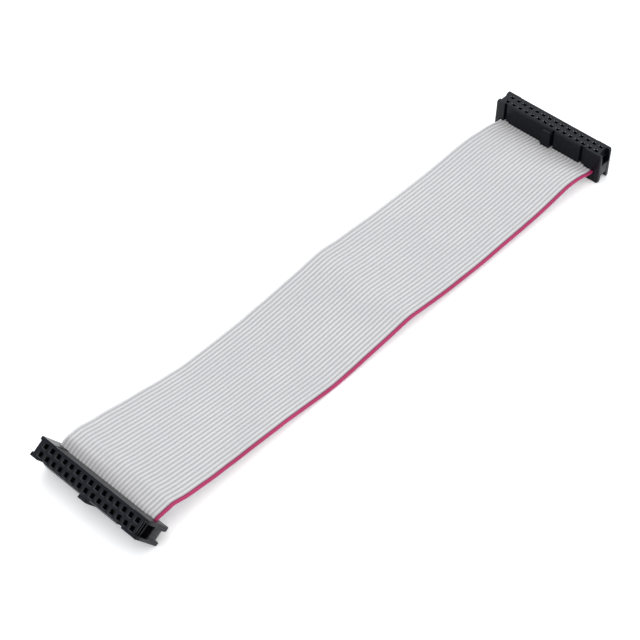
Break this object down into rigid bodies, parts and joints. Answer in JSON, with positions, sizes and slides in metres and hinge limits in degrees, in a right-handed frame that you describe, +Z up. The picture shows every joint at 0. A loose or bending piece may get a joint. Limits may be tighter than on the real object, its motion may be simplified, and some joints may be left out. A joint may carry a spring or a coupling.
{
  "type": "ribbon cable",
  "caption": "Flat grey ribbon cable with a red edge strand and a keyed black socket crimped on each end, for joining a pair of pin headers.",
  "frame": {"origin": "on the floor, at the middle of the cable's footprint", "axes": "+Z up from the floor, +Y along the ribbon from the tipped socket to the upright one, +X along the rows of pin openings, towards the red strand"},
  "size_m": [0.042, 0.2066, 0.0127],
  "materials": {
    "socket_plastic": "satin moulded",
    "contact_metal": "satin plated",
    "jacket_plastic": "satin, one edge strand red",
    "copper": "bare"
  },
  "bodies": {
    "root": {"near_socket_body": "socket_plastic", "near_socket_cover": "socket_plastic", "near_contacts_key_row": "contact_metal", "near_contacts_plain_row": "contact_metal", "far_socket_body": "socket_plastic", "far_socket_cover": "socket_plastic", "far_contacts_key_row": "contact_metal", "far_contacts_plain_row": "contact_metal", "ribbon_jacket": "jacket_plastic", "copper_conductors": "copper"}
  },
  "joints": []
}
